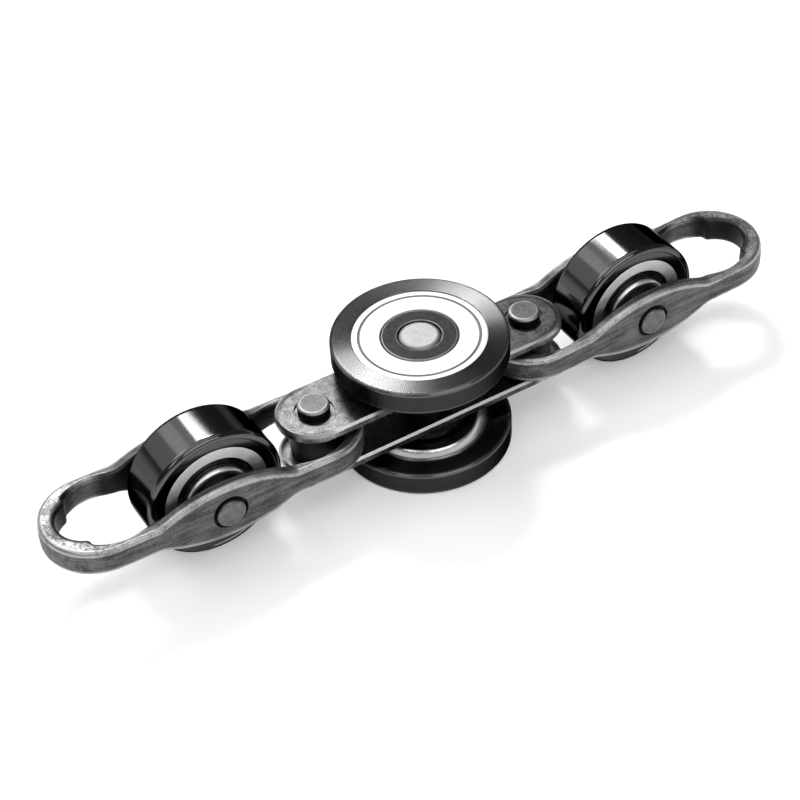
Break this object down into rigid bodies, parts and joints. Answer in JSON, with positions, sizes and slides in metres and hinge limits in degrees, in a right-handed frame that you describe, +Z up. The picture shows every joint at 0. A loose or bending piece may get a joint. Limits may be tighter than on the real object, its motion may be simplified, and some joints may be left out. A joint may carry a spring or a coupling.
{
  "type": "conveyor chain section",
  "caption": "Two-plane enclosed-track conveyor chain section: a load link on flat bearing wheels joined by pins to forged guide links with guide wheels.",
  "frame": {"origin": "on the floor under the middle of the chain, below the load axle", "axes": "+X along the chain to the right guide link, +Y across the chain to its back, +Z up along the load axle"},
  "size_m": [0.257, 0.0552, 0.0442],
  "materials": {
    "forged_steel": "drop-forged steel, shot-blasted, edges rubbed bright",
    "plate_steel": "rolled steel plate, satin, with bright bevels",
    "black_tread": "hardened steel, black oxide, polished by running",
    "pale_shield": "pale plated pressed ring, smooth",
    "dark_shield": "pressed ring, black oxide, its rounded edge rubbed bright",
    "dark_hub": "turned steel, dark oiled",
    "bright_hub": "ground steel",
    "bright_pin": "turned steel, bright edge",
    "bright_rivet": "peened bright steel",
    "rivet_steel": "peened steel",
    "roller_steel": "polished"
  },
  "bodies": {
    "load_link": {"load_axle": "bright_rivet", "centre_spacer": "dark_hub", "upper_side_plate": "plate_steel", "lower_side_plate": "plate_steel", "upper_boss_washer": "plate_steel", "lower_boss_washer": "plate_steel", "upper_load_hub": "dark_hub", "lower_load_hub": "dark_hub", "left_connecting_pin": "bright_pin", "right_connecting_pin": "bright_pin"},
    "upper_load_wheel": {"upper_load_tread": "black_tread", "upper_load_outer_shield": "pale_shield", "upper_load_inner_shield": "dark_shield"},
    "upper_load_roller_row": {"upper_load_rollers": "roller_steel"},
    "lower_load_wheel": {"lower_load_tread": "black_tread", "lower_load_outer_shield": "pale_shield", "lower_load_inner_shield": "dark_shield"},
    "lower_load_roller_row": {"lower_load_rollers": "roller_steel"},
    "left_barrel": {"left_barrel": "dark_hub"},
    "left_guide_link": {"left_forged_link": "forged_steel", "left_guide_axle": "rivet_steel", "left_guide_hub": "bright_hub", "left_guide_front_spacer": "dark_hub", "left_guide_back_spacer": "dark_hub"},
    "left_guide_wheel": {"left_guide_tread": "black_tread", "left_guide_front_shield": "pale_shield", "left_guide_back_shield": "pale_shield"},
    "left_guide_roller_row": {"left_guide_rollers": "roller_steel"},
    "right_barrel": {"right_barrel": "dark_hub"},
    "right_guide_link": {"right_forged_link": "forged_steel", "right_guide_axle": "rivet_steel", "right_guide_hub": "bright_hub", "right_guide_front_spacer": "dark_hub", "right_guide_back_spacer": "dark_hub"},
    "right_guide_wheel": {"right_guide_tread": "black_tread", "right_guide_front_shield": "pale_shield", "right_guide_back_shield": "pale_shield"},
    "right_guide_roller_row": {"right_guide_rollers": "roller_steel"}
  },
  "joints": [
    {"name": "upper_load_wheel_spin", "type": "hinge", "parent": "load_link", "child": "upper_load_wheel", "pos_m": [0, 0, 0.0208], "axis": [0, 0, 1], "continuous": true},
    {"name": "upper_load_rollers_roll", "type": "hinge", "parent": "load_link", "child": "upper_load_roller_row", "pos_m": [0, 0, 0.0208], "axis": [0, 0, 1], "continuous": true},
    {"name": "lower_load_wheel_spin", "type": "hinge", "parent": "load_link", "child": "lower_load_wheel", "pos_m": [0, 0, 0.0208], "axis": [0, 0, 1], "continuous": true},
    {"name": "lower_load_rollers_roll", "type": "hinge", "parent": "load_link", "child": "lower_load_roller_row", "pos_m": [0, 0, 0.0208], "axis": [0, 0, 1], "continuous": true},
    {"name": "left_link_swing", "type": "hinge", "parent": "load_link", "child": "left_barrel", "pos_m": [-0.0381, 0, 0.0208], "axis": [0, 0, 1], "range_deg": [-20, 20]},
    {"name": "left_link_rock", "type": "hinge", "parent": "left_barrel", "child": "left_guide_link", "pos_m": [-0.0381, 0, 0.0208], "axis": [0, 1, 0], "range_deg": [-7, 3]},
    {"name": "left_guide_wheel_spin", "type": "hinge", "parent": "left_guide_link", "child": "left_guide_wheel", "pos_m": [-0.07618, 0, 0.02212], "axis": [0, 1, 0], "continuous": true},
    {"name": "left_guide_rollers_roll", "type": "hinge", "parent": "left_guide_link", "child": "left_guide_roller_row", "pos_m": [-0.07618, 0, 0.02212], "axis": [0, 1, 0], "continuous": true},
    {"name": "right_link_swing", "type": "hinge", "parent": "load_link", "child": "right_barrel", "pos_m": [0.0381, 0, 0.0208], "axis": [0, 0, 1], "range_deg": [-20, 20]},
    {"name": "right_link_rock", "type": "hinge", "parent": "right_barrel", "child": "right_guide_link", "pos_m": [0.0381, 0, 0.0208], "axis": [0, -1, 0], "range_deg": [-7, 3]},
    {"name": "right_guide_wheel_spin", "type": "hinge", "parent": "right_guide_link", "child": "right_guide_wheel", "pos_m": [0.07618, 0, 0.02212], "axis": [0, 1, 0], "continuous": true},
    {"name": "right_guide_rollers_roll", "type": "hinge", "parent": "right_guide_link", "child": "right_guide_roller_row", "pos_m": [0.07618, 0, 0.02212], "axis": [0, 1, 0], "continuous": true}
  ],
  "couplings": [
    {"joint": "upper_load_rollers_roll", "follows": "upper_load_wheel_spin", "ratio": 0.636},
    {"joint": "lower_load_rollers_roll", "follows": "lower_load_wheel_spin", "ratio": 0.636},
    {"joint": "left_guide_rollers_roll", "follows": "left_guide_wheel_spin", "ratio": 0.6504},
    {"joint": "right_guide_rollers_roll", "follows": "right_guide_wheel_spin", "ratio": 0.6504}
  ]
}
